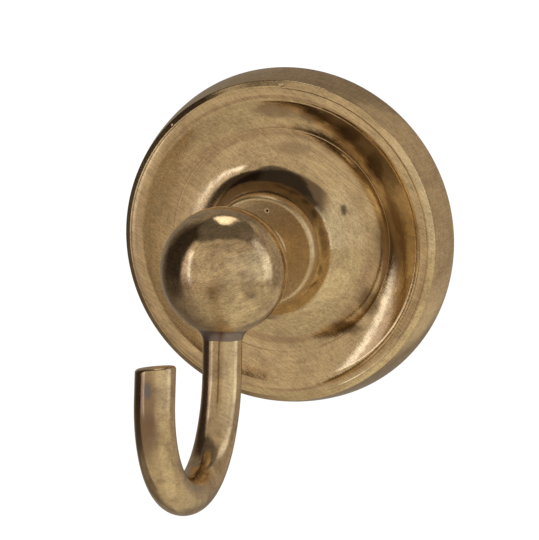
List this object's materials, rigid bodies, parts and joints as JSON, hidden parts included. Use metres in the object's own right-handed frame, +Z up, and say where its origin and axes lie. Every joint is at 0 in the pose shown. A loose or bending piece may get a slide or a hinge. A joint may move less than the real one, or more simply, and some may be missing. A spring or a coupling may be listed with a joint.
{
  "type": "wall hook",
  "caption": "Robe hook in aged brass: a dished round rose on the wall, a collared neck with a ball, and a round bar bent into a J below it.",
  "frame": {"origin": "centre of the rose's back, on the wall", "axes": "+Z up, +Y into the wall along the rose's axis; the hook stands out towards -Y"},
  "size_m": [0.06, 0.0749, 0.0681],
  "materials": {
    "aged_brass": "satin, brushed by hand, brown patina",
    "plain_brass": "machined",
    "braze": "dark and oxidised",
    "steel": "plain"
  },
  "bodies": {
    "root": {"rose": "aged_brass", "spindle": "aged_brass", "ball": "aged_brass", "hook_rod": "aged_brass", "braze_fillet": "braze", "wall_plate": "plain_brass", "spindle_washer": "plain_brass", "spindle_nut": "plain_brass", "grub_screw": "steel"}
  },
  "joints": []
}
